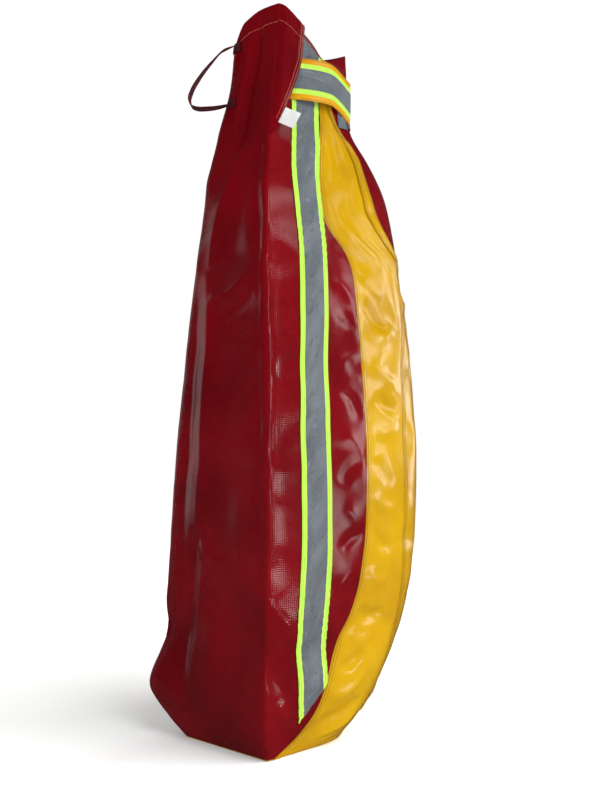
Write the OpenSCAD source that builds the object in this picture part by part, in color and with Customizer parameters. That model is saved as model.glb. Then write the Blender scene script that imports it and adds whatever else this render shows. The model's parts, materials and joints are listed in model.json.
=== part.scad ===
// Tall tapered gear bag in coated fabric: a red back and two red sides, a full yellow front,
// reflective tapes up both sides, a gathered neck and a closure strap across it.
// Up is +Z, the flat back faces -X, the full front faces +X, the strap is sewn on the -Y side.

/* [Bag] */
// Height of the bag from its base to the highest point of the collar
bag_h = 1161; // [1100:1:1220]
// Thickness of the coated fabric
cloth = 1.6; // [1.2:0.1:2.4]
// Height where the collar lobe separates from the near side
slit_z = 938; // [930:1:945]
// Width of the collar lobe that folds round onto the near side
lobe_w = 37; // [34:1:38]

/* [Reflective tape] */
// Width of the lime tape
tape_w = 50.8; // [50:0.1:51]
// Width of the silver stripe on the tape
silver_w = 34; // [28:1:40]
// Thickness of each layer of tape
tape_t = 0.5; // [0.4:0.1:0.8]

/* [Closure strap] */
// Width of the closure strap
strap_w = 70; // [64:1:72]
// Thickness of the closure strap
strap_t = 2; // [1.6:0.1:2.4]
// Length of the hook-and-loop patches along the strap
patch_l = 24; // [20:1:28]

/* [Hanging loop] */
// Width of the loop's webbing
loop_w = 20; // [16:1:22]
// Thickness of the loop's webbing
loop_t = 2; // [1.4:0.1:2.4]
// How far the loop stands out from the back
loop_reach = 70; // [60:1:74]

/* [Small parts] */
// Side of the square sewn-in label
label_w = 26; // [20:1:28]
// Diameter of the snap stud
snap_d = 8; // [6:0.5:10]
// Width of the hem bindings
hem_w = 12; // [10:1:14]

/* [Hidden] */

red = [0.50, 0.03, 0.07];
yellow = [0.93, 0.68, 0.08];
lime = [0.75, 0.95, 0.38];
silver = [0.47, 0.49, 0.51];
black = [0.07, 0.07, 0.07];
gap = 0.3;
// Small spaces that keep one layer's facets out of the next
sewn = 0.9;
layer = 0.15;

// Guide curves of the bag's outside, each as [height, x, y]
near_corner = [[0, -97, -105], [40, -112, -114], [110, -118, -120], [240, -116, -121],
    [450, -115, -116], [670, -107, -107], [830, -98, -95], [950, -70, -76],
    [1060, -54, -68], [1160, -42, -66]];
far_corner = [[0, -116, 76], [45, -138, 114], [78, -148, 130], [120, -137, 127],
    [190, -127, 124], [450, -116, 108], [680, -109, 82], [860, -96, 58],
    [990, -74, 32], [1160, -64, 20]];
near_shoulder = [[0, 15, -101], [60, 36, -134], [145, 50, -152], [256, 56, -158],
    [375, 58, -156], [467, 61, -151], [624, 61, -138], [752, 56, -127],
    [837, 46, -117], [911, 40, -103], [965, 45, -93], [1060, 46, -79], [1160, 46, -76]];
far_shoulder = [[0, 30, 92], [60, 40, 126], [145, 50, 140], [256, 56, 147],
    [467, 61, 144], [624, 60, 132], [752, 56, 108], [837, 58, 78],
    [911, 52, 40], [965, 46, 10], [1060, 40, -10], [1160, 38, -12]];
front = [[0, 118, -5], [60, 156, 0], [170, 212, 0], [300, 242, 0], [450, 254, 0],
    [600, 246, -4], [700, 235, -14], [770, 224, -34], [837, 208, -58],
    [890, 183, -67], [943, 134, -73], [975, 100, -77], [1031, 93, -79], [1160, 92, -79]];
// How square the front is, as [height, handle length]
fullness = [[0, 0.52], [100, 0.62], [250, 0.74], [600, 0.76], [760, 0.70], [850, 0.50],
    [950, 0.42], [1160, 0.40]];

// Round the bag, 0 is the near corner, 1 the near shoulder, 2 the front, 3 the far shoulder,
// 4 the far corner and 5 the near corner again. The seams are [height, place round the bag].
near_seam = [[0, 0.06], [20, 0.36], [52, 0.54], [80, 0.62], [138, 0.67], [167, 0.71],
    [195, 0.81], [254, 0.92], [344, 0.985], [467, 1.0], [700, 1.0], [752, 0.98],
    [782, 0.84], [808, 0.73], [840, 0.72], [900, 0.757], [954, 0.795], [1000, 0.83],
    [1090, 0.91]];
far_seam = [[0, 3.0], [480, 3.0], [560, 2.85], [640, 2.45], [700, 2.05], [745, 1.75],
    [770, 1.56], [800, 1.40], [840, 1.33], [895, 1.36], [935, 1.42], [962, 1.28],
    [1000, 1.06], [1090, 1.01]];
// Height of the rim, as [place round the bag, height]
rim = [[0, 1160], [0.2, 1147], [0.36, 1131], [0.6, 1118], [0.8, 1102], [0.91, 1089],
    [1.01, 1085], [1.3, 1094], [2, 1108], [3, 1108], [4, 1098], [4.06, 1124], [4.17, 1139],
    [4.52, 1157], [4.8, 1160], [5, 1160]];
// Distance of the tape from its corner, as [height, distance]
tape_start = [[0, 60], [90, 59], [175, 51], [290, 59], [470, 61], [770, 60], [900, 43],
    [1000, 36], [1160, 34]];

// ---- Smooth curves through guide points ----
function secant(t, i, c) = (t[i + 1][c] - t[i][c]) / (t[i + 1][0] - t[i][0]);
function mean_slope(a, b) = a * b <= 0 ? 0 : 2 * a * b / (a + b);
function slope(t, i, c) =
    i == 0 ? secant(t, 0, c)
    : i == len(t) - 1 ? secant(t, i - 1, c)
    : mean_slope(secant(t, i - 1, c), secant(t, i, c));
function span(t, z, i = 0) = i >= len(t) - 2 || z <= t[i + 1][0] ? i : span(t, z, i + 1);
function clamp(x, a, b) = min(max(x, a), b);
function hermite(a, b, ma, mb, h, s) =
    (2 * s * s * s - 3 * s * s + 1) * a + (s * s * s - 2 * s * s + s) * h * ma
    + (3 * s * s - 2 * s * s * s) * b + (s * s * s - s * s) * h * mb;
function in_span(t, i, s, c) =
    hermite(t[i][c], t[i + 1][c], slope(t, i, c), slope(t, i + 1, c), t[i + 1][0] - t[i][0], s);
function along(t, z, c = 1) =
    let (x = clamp(z, t[0][0], t[len(t) - 1][0]), i = span(t, x))
    in_span(t, i, (x - t[i][0]) / (t[i + 1][0] - t[i][0]), c);
function guide(t, z) = [along(t, z, 1), along(t, z, 2)];
function unit(v) = v / norm(v);
function mix(a, b, s) = a * (1 - s) + b * s;
function bezier(a, b, c, d, s) =
    a * pow(1 - s, 3) + b * 3 * s * pow(1 - s, 2) + c * 3 * s * s * (1 - s) + d * pow(s, 3);

// ---- Outside of the bag at height z, drawn in by d ----
function near_c(z, d) = guide(near_corner, z) + [d, d];
function near_s(z, d) = guide(near_shoulder, z) + [0, d];
function front_p(z, d) = guide(front, z) + [-d, 0];
function far_s(z, d) = guide(far_shoulder, z) + [0, -d];
function far_c(z, d) = guide(far_corner, z) + [d, -d];
function reach(v, dir, z) = dir * max(0, v * dir) * along(fullness, z);
function near_quarter(z, d, s) =
    let (a = near_s(z, d), b = front_p(z, d), across = unit(far_s(z, d) - a),
         ahead = unit(a - near_c(z, d)))
    bezier(a, a + reach(b - a, ahead, z), b - reach(b - a, across, z), b, s);
function far_quarter(z, d, s) =
    let (a = front_p(z, d), b = far_s(z, d), across = unit(b - near_s(z, d)),
         ahead = unit(b - far_c(z, d)))
    bezier(a, a + reach(b - a, across, z), b + reach(a - b, ahead, z), b, s);
function around(q, z, d) =
    q <= 1 ? mix(near_c(z, d), near_s(z, d), q)
    : q <= 2 ? near_quarter(z, d, q - 1)
    : q <= 3 ? far_quarter(z, d, q - 2)
    : q <= 4 ? mix(far_s(z, d), far_c(z, d), q - 3)
    : mix(far_c(z, d), near_c(z, d), q - 4);
function near_length(z) = norm(guide(near_shoulder, z) - guide(near_corner, z));
function far_length(z) = norm(guide(far_shoulder, z) - guide(far_corner, z));
function up(p, z) = [p[0], p[1], z];

// ---- Closed sheet between an outer and an inner grid of points ----
// Both grids are lists of rows of equal length, rising with the row number.
function flat(g) = [for (row = g) for (p = row) p];
module sheet(outer, inner) {
    m = len(outer);
    n = len(outer[0]);
    half = m * n;
    walls = [for (i = [0:m - 2]) for (j = [0:n - 2])
        let (a = i * n + j) each [[a, a + n, a + n + 1], [a, a + n + 1, a + 1]]];
    backs = [for (f = walls) [f[0] + half, f[2] + half, f[1] + half]];
    foot = [for (j = [0:n - 2]) each [[j, j + 1, j + 1 + half], [j, j + 1 + half, j + half]]];
    head = [for (j = [0:n - 2]) let (a = (m - 1) * n + j)
        each [[a, a + half, a + 1 + half], [a, a + 1 + half, a + 1]]];
    start = [for (i = [0:m - 2]) let (a = i * n)
        each [[a, a + half, a + n + half], [a, a + n + half, a + n]]];
    end = [for (i = [0:m - 2]) let (a = i * n + n - 1)
        each [[a, a + n, a + n + half], [a, a + n + half, a + half]]];
    polyhedron(concat(flat(outer), flat(inner)), concat(walls, backs, foot, head, start, end));
}

// ---- Rows of a panel: level up to the slit, then fanned out to the rim ----
low_rows = 38;
top_rows = 7;
row_list = [for (i = [0:low_rows + top_rows]) i];
function row_z(i, top) =
    i <= low_rows ? slit_z * i / low_rows : mix(slit_z, top, (i - low_rows) / top_rows);
function seam(t, z) = len(t) == 1 ? t[0][1] : along(t, z);
function seam_top(t) = t[len(t) - 1][1];
function panel_grid(a, b, n, d) = [for (i = row_list) [for (j = [0:n])
    let (s = j / n, z = row_z(i, along(rim, mix(seam_top(a), seam_top(b), s))))
    up(around(mix(seam(a, z), seam(b, z), s), z, d), z)]];
module panel(a, b, n) {
    sheet(panel_grid(a, b, n, 0), panel_grid(a, b, n, cloth));
}
function fixed(q) = [[0, q]];

module back_panel() color(red) panel(fixed(4), fixed(5), 6);
module near_side_panel() color(red) panel(fixed(0), near_seam, 6);
module far_side_panel() color(red) panel(far_seam, fixed(4), 14);
module front_gusset() color(yellow) panel(near_seam, far_seam, 14);

// Flat base inside the lower edges of the walls
base_gap = 1.6;
module base_panel() color(yellow)
    linear_extrude(2)
        polygon([for (i = [0:49]) around(i / 10, 0, cloth + base_gap)]);

// ---- Collar lobe, standing off the near side above the slit ----
lobe_rows = 9;
function lobe_edge(z) = lobe_w * pow(clamp((z - slit_z) / 130, 0, 1), 0.8) + 4;
function lobe_stand(s, z) = (2 + 11 * s) * clamp((z - slit_z) / 90, 0, 1) + gap;
function near_out(z) = let (v = unit(guide(near_shoulder, z) - guide(near_corner, z))) [v[1], -v[0]];
function on_near(dist, z, off) = around(dist / near_length(z), z, 0) + near_out(z) * off;
function lobe_grid(t, a, b, lift) = [for (i = [0:lobe_rows]) [for (j = [0:4])
    let (s = mix(a, b, j / 4), top = mix(bag_h - 1, 1124, s),
         z = mix(slit_z, top, i / lobe_rows))
    up(on_near(s * lobe_edge(z), z, lobe_stand(s, z) + lift + t), z)]];
module collar_lobe() color(red) sheet(lobe_grid(cloth, 0, 1, 0), lobe_grid(0, 0, 1, 0));
module lobe_hem() color(red)
    sheet(lobe_grid(cloth + 0.9, 0.7, 1, gap), lobe_grid(cloth, 0.7, 1, gap));

// ---- Tapes ----
// Rows follow the tape up; its lower end is cut along the yellow seam.
tape_rows = 40;
function tape_foot(s) = mix(50, 105, s);
function tape_head(s) = mix(1126, 1086, s);
function tape_on_near(dist, z, off) = up(on_near(along(tape_start, z) + dist, z, off), z);
function near_tape_grid(edges, off) = [for (i = [0:tape_rows]) [for (s = edges)
    let (z = mix(tape_foot(s / tape_w), tape_head(s / tape_w), i / tape_rows))
    tape_on_near(s, z, off)]];
silver_a = (tape_w - silver_w) / 2;
silver_b = silver_a + silver_w;
lime_edges = [0, silver_a, silver_b, tape_w];
silver_edges = [silver_a, silver_b];
silver_lift = sewn + tape_t + layer;
module near_tape() color(lime)
    sheet(near_tape_grid(lime_edges, sewn + tape_t), near_tape_grid(lime_edges, sewn));
module near_tape_silver() color(silver)
    sheet(near_tape_grid(silver_edges, silver_lift + tape_t),
          near_tape_grid(silver_edges, silver_lift));

function far_out(z) = let (v = unit(guide(far_shoulder, z) - guide(far_corner, z))) [-v[1], v[0]];
function on_far(dist, z, off) = around(4 - dist / far_length(z), z, 0) + far_out(z) * off;
function backwards(v) = [for (i = [len(v) - 1:-1:0]) v[i]];
function far_tape_grid(edges, off) = [for (i = [0:tape_rows]) [for (s = backwards(edges))
    let (z = mix(100, 1080, i / tape_rows))
    up(on_far(along(tape_start, z) + s, z, off), z)]];
module far_tape() color(lime)
    sheet(far_tape_grid(lime_edges, sewn + tape_t), far_tape_grid(lime_edges, sewn));
module far_tape_silver() color(silver)
    sheet(far_tape_grid(silver_edges, silver_lift + tape_t),
          far_tape_grid(silver_edges, silver_lift));

// ---- Strips sewn over the yellow front and round the rim ----
function strip_grid(qa, qb, n, za, zb, rows, d) = [for (i = [0:rows]) [for (j = [0:n])
    let (z = mix(za, zb, i / rows))
    up(around(mix(along(qa, z), along(qb, z), j / n), z, d), z)]];
placket_a = [[0, 1.34], [150, 1.30], [450, 1.30], [700, 1.42]];
placket_b = [[0, 1.48], [150, 1.48], [450, 1.50], [700, 1.56]];
module placket_strip() color(yellow)
    sheet(strip_grid(placket_a, placket_b, 4, 40, 700, 24, -2.2),
          strip_grid(placket_a, placket_b, 4, 40, 700, 24, -0.8));

gusset_hem_a = [for (p = far_seam) [p[0], p[1] - (p[0] > 960 ? 0.07 : 0.12)]];
module gusset_hem() color(yellow)
    sheet(strip_grid(gusset_hem_a, far_seam, 2, 770, 1080, 14, -1.9),
          strip_grid(gusset_hem_a, far_seam, 2, 770, 1080, 14, -0.8));

// Binding inside the rim, from the front of the neck round to the near corner
rim_hem_q = [for (i = [0:20]) mix(2.1, 4.94, i / 20)];
function rim_grid(d) = [for (low = [hem_w * 2, 0]) [for (q = rim_hem_q)
    let (z = along(rim, q) - 1 - low) up(around(q, z, d), z)]];
module rim_hem() color(red) sheet(rim_grid(cloth + 2.2), rim_grid(cloth + 3.4));

// ---- Closure strap ----
// Plan of the strap from its sewn end to its free end
strap_root = [-10, -79];
strap_mid_a = [20, -91];
strap_mid_b = [55, -94];
strap_end = [90, -88.5];
strap_steps = 12;
function strap_plan(s) = bezier(strap_root, strap_mid_a, strap_mid_b, strap_end, s);
function strap_side(s) =
    let (v = unit(strap_plan(s + 0.01) - strap_plan(s - 0.01))) [v[1], -v[0]];
strap_line = [[0, 1040], [0.5, 1042], [1, 1021]];
// The sewn end slants along the lobe's edge, and its foot stands a little further out
root_slant = 0.09;
root_stand = 5;
function strap_grid(sa, sb, lo, hi, off) = [for (h = [lo, hi]) [for (j = [0:strap_steps])
    let (foot = 0.5 - h / strap_w, s = mix(sa - root_slant * foot * (1 - sa), sb, j / strap_steps))
    up(strap_plan(s) + strap_side(s) * off - [0, root_stand * foot * clamp(1 - s, 0, 1)],
       along(strap_line, s) + h)]];
module strap_layer(sa, sb, lo, hi, off, t) {
    sheet(strap_grid(sa, sb, lo, hi, off + t), strap_grid(sa, sb, lo, hi, off));
}
module closure_strap() color(yellow)
    strap_layer(0.02, 1, -strap_w / 2, strap_w / 2, 0, strap_t);
module strap_tape() color(lime)
    strap_layer(0.03, 0.99, -tape_w / 2, tape_w / 2, strap_t + layer, tape_t);
module strap_tape_silver() color(silver)
    strap_layer(0.03, 0.99, -silver_w / 2, silver_w / 2, strap_t + tape_t + 2 * layer,
                tape_t);
patch_h = 60;
patch_t = 1.8;
patch_s = 1 - patch_l / norm(strap_end - strap_root);
module strap_hook_patch() color(black)
    strap_layer(patch_s, 0.985, -patch_h / 2, patch_h / 2, -patch_t - layer, patch_t);

// Sewn end of the strap, flat on the near side under the collar lobe
module strap_anchor() color(yellow)
    sheet([for (z = [1002, 1070]) [for (d = [6, 17, 28]) up(on_near(d, z, 2.4), z)]],
          [for (z = [1002, 1070]) [for (d = [6, 17, 28]) up(on_near(d, z, 0.6), z)]]);

// ---- Fittings on the neck, under the free end of the strap ----
function neck_face(q, z, d) = up(around(q, z, d), z);
module neck_pad(qa, qb, za, zb, lift, t) {
    sheet([for (z = [za, zb]) [for (j = [0:3]) neck_face(mix(qa, qb, j / 3), z, -lift - t)]],
          [for (z = [za, zb]) [for (j = [0:3]) neck_face(mix(qa, qb, j / 3), z, -lift)]]);
}
module neck_loop_patch() color(black) neck_pad(1.55, 1.93, 982, 1046, 0.8, 1.4);
module neck_reflector() color(silver) neck_pad(1.22, 1.5, 976, 1004, 0.8, 0.8);

// The snap's cap and its rivet shank, standing on the neck
snap_z = 1074;
snap_q = 1.12;
module snap_stud() color([0.72, 0.70, 0.66])
    translate(up(around(snap_q, snap_z, 0), snap_z))
        rotate([90, 0, 10])
            union() {
                translate([0, 0, 1.2]) cylinder(d = snap_d, h = 1.6, $fn = 48);
                translate([0, 0, 2.8]) cylinder(d = snap_d / 2, h = 1.2, $fn = 48);
            }

// ---- Hanging loop at the far rear corner ----
// The loop's path as [distance out from the back, height]
loop_dir = [-0.74, 0.67];
loop_root = [-74, 14];
loop_route = [[4, 1103], [16, 1098], [34, 1079], [52, 1056], [66, 1032], [loop_reach, 1018],
    [66, 1006], [52, 1002], [34, 1003], [16, 1006], [4, 1009]];
loop_steps = 40;
function loop_at(s) =
    let (n = len(loop_route) - 1, x = clamp(s, 0, 1) * n,
         t = [for (i = [0:n]) [i, loop_route[i][0], loop_route[i][1]]])
    guide(t, x);
// The webbing turns from lying along the back at its ends to standing edge-on in the middle
function loop_wide(s) = let (a = 48 * sin(180 * s)) [sin(a), cos(a)] * loop_w / 2;
function loop_ring(s) =
    let (p = loop_at(s), v = unit(loop_at(s + 0.004) - loop_at(s - 0.004)),
         c = loop_root + loop_dir * p[0], w = loop_wide(s),
         n = [-loop_dir[0] * v[1], -loop_dir[1] * v[1], v[0]] * loop_t / 2)
    [[c[0] - w[0], c[1] - w[1], p[1]] + n, [c[0] + w[0], c[1] + w[1], p[1]] + n,
     [c[0] + w[0], c[1] + w[1], p[1]] - n, [c[0] - w[0], c[1] - w[1], p[1]] - n];
module hanging_loop() color(red) {
    rings = [for (i = [0:loop_steps]) loop_ring(mix(0.001, 0.999, i / loop_steps))];
    sides = [for (i = [0:loop_steps - 1]) for (j = [0:3])
        let (a = 4 * i + j, b = 4 * i + (j + 1) % 4) each [[a, b + 4, b], [a, a + 4, b + 4]]];
    last = 4 * loop_steps;
    ends = [[1, 2, 3], [0, 1, 3], [last + 2, last + 1, last], [last + 3, last + 2, last]];
    polyhedron(flat(rings), concat(sides, ends));
}

// The two bar-tacked ends of the webbing, flat on the back panel
function on_back(y, z, off) = let (a = far_c(z, 0), b = near_c(z, 0), s = (a[1] - y) / (a[1] - b[1]))
    mix(a, b, s) + [-off, 0];
module loop_anchors() color(red)
    for (h = [1009, 1103])
        sheet([for (z = [h - 8, h + 8]) [for (y = [24, 14, 4]) up(on_back(y, z, 1.8), z)]],
              [for (z = [h - 8, h + 8]) [for (y = [24, 14, 4]) up(on_back(y, z, 0.1), z)]]);

// ---- Blank label, sewn into the hem of the lobe ----
label_a = [-61, -84, 958];
label_b = [-50, -89, 983];
label_out = [0.68, -0.60, -0.42];
label_t = 0.6;
module label() color("white") {
    n = unit(cross(label_out, label_b - label_a)) * label_t;
    far_a = label_a + label_out * label_w;
    far_b = label_b + label_out * label_w;
    sheet([[label_a + n, far_a + n], [label_b + n, far_b + n]], [[label_a, far_a], [label_b, far_b]]);
}

back_panel();
near_side_panel();
far_side_panel();
front_gusset();
base_panel();
collar_lobe();
near_tape();
near_tape_silver();
far_tape();
far_tape_silver();
placket_strip();
gusset_hem();
rim_hem();
lobe_hem();
strap_anchor();
closure_strap();
strap_tape();
strap_tape_silver();
strap_hook_patch();
neck_loop_patch();
neck_reflector();
snap_stud();
loop_anchors();
hanging_loop();
label();
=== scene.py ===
"""Looks for a tall tapered gear bag in coated fabric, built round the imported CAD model.

The bag is one ring of cloth: the four CAD wall panels are joined, made smooth and dense, folded
and slackened, and cut into panels again. Everything that is sewn on follows that cloth.
"""
import json
import math

import bpy
import numpy as np
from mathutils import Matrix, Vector, noise
from mathutils.bvhtree import BVHTree


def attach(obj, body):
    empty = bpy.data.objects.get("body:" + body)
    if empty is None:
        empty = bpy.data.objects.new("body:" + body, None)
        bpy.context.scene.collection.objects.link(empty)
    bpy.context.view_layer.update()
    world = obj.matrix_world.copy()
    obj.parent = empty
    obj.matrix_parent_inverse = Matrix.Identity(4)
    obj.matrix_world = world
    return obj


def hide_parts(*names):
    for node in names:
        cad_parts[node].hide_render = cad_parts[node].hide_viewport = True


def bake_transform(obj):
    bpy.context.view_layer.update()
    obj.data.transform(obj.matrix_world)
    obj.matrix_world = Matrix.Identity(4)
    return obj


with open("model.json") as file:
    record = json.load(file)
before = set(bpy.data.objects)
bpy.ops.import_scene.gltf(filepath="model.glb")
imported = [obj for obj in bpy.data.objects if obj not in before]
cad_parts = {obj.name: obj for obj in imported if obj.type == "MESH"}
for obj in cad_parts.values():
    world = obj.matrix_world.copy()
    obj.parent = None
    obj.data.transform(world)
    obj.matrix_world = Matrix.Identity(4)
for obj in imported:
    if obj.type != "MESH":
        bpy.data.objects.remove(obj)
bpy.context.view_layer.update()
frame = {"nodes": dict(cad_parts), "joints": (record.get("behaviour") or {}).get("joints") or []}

MM = 0.001
CLOTH = 1.5 * MM
TAU = 2 * math.pi


# ---- Small helpers ----

def unit(v):
    return v / np.maximum(np.linalg.norm(v, axis=-1, keepdims=True), 1e-12)


def add_object(name, data):
    made = bpy.data.objects.new(name, data)
    bpy.context.collection.objects.link(made)
    return made


def length_along(line):
    """Distance along a line of points, from its start."""
    return np.concatenate([[0], np.cumsum(np.linalg.norm(np.diff(line, axis=0), axis=1))])


def ring_quads(index):
    """The faces between the rows of a grid of point numbers whose rows close round."""
    after = np.roll(index, -1, 1)
    return np.stack([index[:-1], after[:-1], after[1:], index[1:]], -1).reshape(-1, 4)


# ---- Grids of points taken from the CAD nodes ----

def cad_mesh(node):
    """A node's points and triangles, with its double points merged."""
    mesh = frame["nodes"][node].data
    mesh.calc_loop_triangles()
    points = np.zeros(len(mesh.vertices) * 3)
    mesh.vertices.foreach_get("co", points)
    corners = np.zeros(len(mesh.loop_triangles) * 3, int)
    mesh.loop_triangles.foreach_get("vertices", corners)
    merged, index = np.unique(np.round(points.reshape(-1, 3), 6), axis=0, return_inverse=True)
    return merged, index.reshape(-1)[corners].reshape(-1, 3)


def cell_normals(grid):
    """The normals of a grid's cells, as long as twice their areas."""
    return np.cross(grid[1:, 1:] - grid[:-1, :-1], grid[1:, :-1] - grid[:-1, 1:])


def area_of(grid):
    return np.linalg.norm(cell_normals(grid), axis=2).sum() / 2


def fits_sheet(grid):
    """High for a grid that covers the sheet's whole face, low for one that turns its edges."""
    n = unit(cell_normals(grid))
    bends = (1 - (n[:, 1:] * n[:, :-1]).sum(2)).sum() + (1 - (n[1:] * n[:-1]).sum(2)).sum()
    return area_of(grid) * (1 - 5 * bends / n[:, :, 0].size)


def cad_grid(node, columns, thickest=2.5 * MM):
    """The outer grid of a sheet-like node, as rows of points from its lowest row up."""
    points, triangles = cad_mesh(node)
    third = {}
    for a, b, c in triangles.tolist():
        third[a, b] = c
        third[b, c] = a
        third[c, a] = b
    rows = len(points) // 2 // columns
    found = []
    for start, under in third:
        if np.linalg.norm(points[start] - points[under]) > thickest:
            continue
        row, inner = [start], [under]
        for _ in range(columns - 1):
            inner.append(third.get((row[-1], inner[-1])))
            row.append(third.get((row[-1], inner[-1])))
        grid = [row]
        for _ in range(rows - 1):
            last = grid[-1]
            new = [third.get((last[j], last[j + 1])) for j in range(columns - 1)]
            grid.append([third.get((last[0], new[0]))] + new)
        flat = [v for r in grid for v in r]
        if None not in flat and len(set(flat)) == rows * columns:
            found.append(points[np.array(grid)])
    best = max(fits_sheet(g) for g in found)
    alike = [g for g in found if fits_sheet(g) > 0.9995 * best]
    return min(alike, key=lambda g: g[0, :, 2].mean())


def finer(grid, k, axis=0):
    """A grid with k steps for each one along an axis, on smooth curves through its points."""
    g = np.moveaxis(grid, axis, 0)
    slope = np.empty_like(g)
    slope[1:-1] = (g[2:] - g[:-2]) / 2
    slope[0] = g[1] - g[0]
    slope[-1] = g[-1] - g[-2]
    out = []
    for s in np.arange(k) / k:
        a = 2 * s ** 3 - 3 * s ** 2 + 1
        b = s ** 3 - 2 * s ** 2 + s
        c = s ** 3 - s ** 2
        out.append(a * g[:-1] + b * slope[:-1] + (1 - a) * g[1:] + c * slope[1:])
    fine = np.stack(out, 1).reshape((-1,) + g.shape[1:])
    return np.moveaxis(np.concatenate([fine, g[-1:]]), 0, axis)


# ---- The ring of cloth ----

# Each wall panel's columns in the CAD grid, and the steps that each column is cut into
PANELS = {"near_side_panel": (7, 6), "front_gusset": (15, 7),
          "far_side_panel": (15, 4), "back_panel": (7, 9)}
ROW_STEPS = 6


def join_panels():
    """The bag's outside as one grid closed round the bag, and each panel's first and last column."""
    parts, span, first = [], {}, 0
    for node, (columns, steps) in PANELS.items():
        grid = finer(finer(cad_grid(node, columns), ROW_STEPS), steps, axis=1)
        span[node] = (first, first + grid.shape[1] - 1)
        first += grid.shape[1] - 1
        parts.append(grid[:, :-1])
    return np.concatenate(parts, 1), span


def ring_normals(ring):
    across = np.roll(ring, -1, 1) - np.roll(ring, 1, 1)
    return unit(np.cross(across, np.gradient(ring, axis=0)))


def soften(ring, passes):
    """Rounds the corners of the ring, with its top and bottom edges kept in place."""
    for _ in range(passes):
        ring = ring / 2 + (np.roll(ring, 1, 1) + np.roll(ring, -1, 1)) / 4
        ring[1:-1] = ring[1:-1] / 2 + (ring[2:] + ring[:-2]) / 4
    return ring


def steps_along(grid, axis):
    """Distance along each line of a grid, from its start."""
    step = np.linalg.norm(np.diff(grid, axis=axis), axis=2)
    return np.concatenate([np.zeros_like(np.take(step, [0], axis)), np.cumsum(step, axis)], axis)


base, span = join_panels()
base = soften(base, 3)
base_normals = ring_normals(base)
rows, around = base.shape[:2]


def column(panel, across):
    """The ring's column, as a whole number and the rest, at a share of a panel's width."""
    a, b = span[panel]
    k = a + across * (b - a)
    return int(k) % around, (int(k) + 1) % around, k - int(k)


def spot(panel, across, z, ring=None):
    """The point of the ring at a share of a panel's width and at a height."""
    ring = base if ring is None else ring
    k, after, rest = column(panel, across)
    line = ring[:, k] * (1 - rest) + ring[:, after] * rest
    return np.array([np.interp(z, line[:, 2], line[:, c]) for c in range(3)])


# ---- Folds, dents and slack ----

def near_line(points, line):
    """Each point's distance from a line of points, and where along it that is, from 0 to 1."""
    line = np.asarray(line)
    length = np.linalg.norm(np.diff(line, axis=0), axis=1)
    before = np.concatenate([[0], np.cumsum(length)])
    best = np.full(points.shape[:-1], np.inf)
    where = np.zeros(points.shape[:-1])
    for i, (a, b) in enumerate(zip(line[:-1], line[1:])):
        d = b - a
        t = np.clip(((points - a) @ d) / (d @ d), 0, 1)
        far = np.linalg.norm(points - a - t[..., None] * d, axis=-1)
        nearer = far < best
        best[nearer] = far[nearer]
        where[nearer] = (before[i] + t[nearer] * length[i]) / before[-1]
    return best, where


def fold(panel, path, width, rise, sharp=False):
    """A ridge, or a valley where rise is negative, along [share across, height] points."""
    ends = [spot(panel, across, z) for across, z in path]
    dense = finer(np.array(ends)[:, None], 6)[:, 0] if len(ends) > 2 else np.array(ends)
    far, where = near_line(base, dense)
    profile = np.exp(-far / width) if sharp else np.exp(-(far / width) ** 2)
    return rise * profile * np.clip(4 * where * (1 - where), 0, 1) ** 0.6


def dent(panel, across, z, size, rise):
    """A round dimple or swelling, size = (width, height)."""
    away = (base - spot(panel, across, z)) / np.array([size[0], size[0], size[1]])
    return rise * np.exp(-(away ** 2).sum(2))


def cloth_noise(u, v, seed, scale):
    """Smooth noise over the cloth, between about -1 and 1."""
    flat = np.stack([u / scale[0], v / scale[1], np.full_like(u, seed)], -1).reshape(-1, 3)
    return np.array([noise.noise(p) for p in flat.tolist()]).reshape(u.shape)


def bowed(a, start, b, end, across=0.0, up=0.0):
    """A short path between two [share across, height] points, moved a little in its middle."""
    return [(a, start), ((a + b) / 2 + across, (start + end) / 2 + up), (b, end)]


# Long folds: a path, the half width and the rise in mm, and whether the crest is sharp
BACK_FOLDS = [
    # A shallow valley beside the near corner, then the folds of the neck and below it
    ([(0.97, 0.70), (0.96, 0.50), (0.96, 0.25), (0.97, 0.12)], 10, -2.5, False),
    ([(0.60, 1.155), (0.56, 1.08), (0.46, 1.00), (0.44, 0.90)], 9, -7, False),
    ([(0.40, 1.13), (0.34, 1.05), (0.30, 0.95)], 16, 4, False),
    ([(0.80, 1.10), (0.84, 0.98), (0.86, 0.88)], 18, 3, False),
    ([(0.90, 0.97), (0.84, 0.90), (0.88, 0.82), (0.95, 0.74)], 7, -7, True),
    ([(0.50, 0.94), (0.42, 0.87), (0.30, 0.82), (0.22, 0.74)], 16, 6, True),
    ([(0.66, 0.90), (0.62, 0.82), (0.50, 0.75)], 26, -4, False),
    # A shelf where the cloth slumps, the tall ridge under it, a lower shelf, and the folds at the base
    ([(0.30, 0.690), (0.55, 0.695), (0.92, 0.735)], 13, 6, True),
    ([(0.36, 0.655), (0.58, 0.665), (0.86, 0.690)], 14, -4, False),
    ([(0.20, 0.74), (0.31, 0.66), (0.34, 0.54), (0.33, 0.42), (0.30, 0.30)], 24, 8, True),
    ([(0.14, 0.70), (0.16, 0.54), (0.15, 0.40), (0.14, 0.28)], 12, -4, False),
    ([(0.32, 0.305), (0.46, 0.285), (0.62, 0.275)], 12, 5, True),
    ([(0.30, 0.33), (0.26, 0.24), (0.25, 0.12), (0.30, 0.05)], 15, -7, False),
    ([(0.48, 0.20), (0.52, 0.12), (0.52, 0.05)], 24, 4, False),
    ([(0.13, 0.12), (0.08, 0.085), (0.05, 0.05)], 5, -3, True)]
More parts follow.
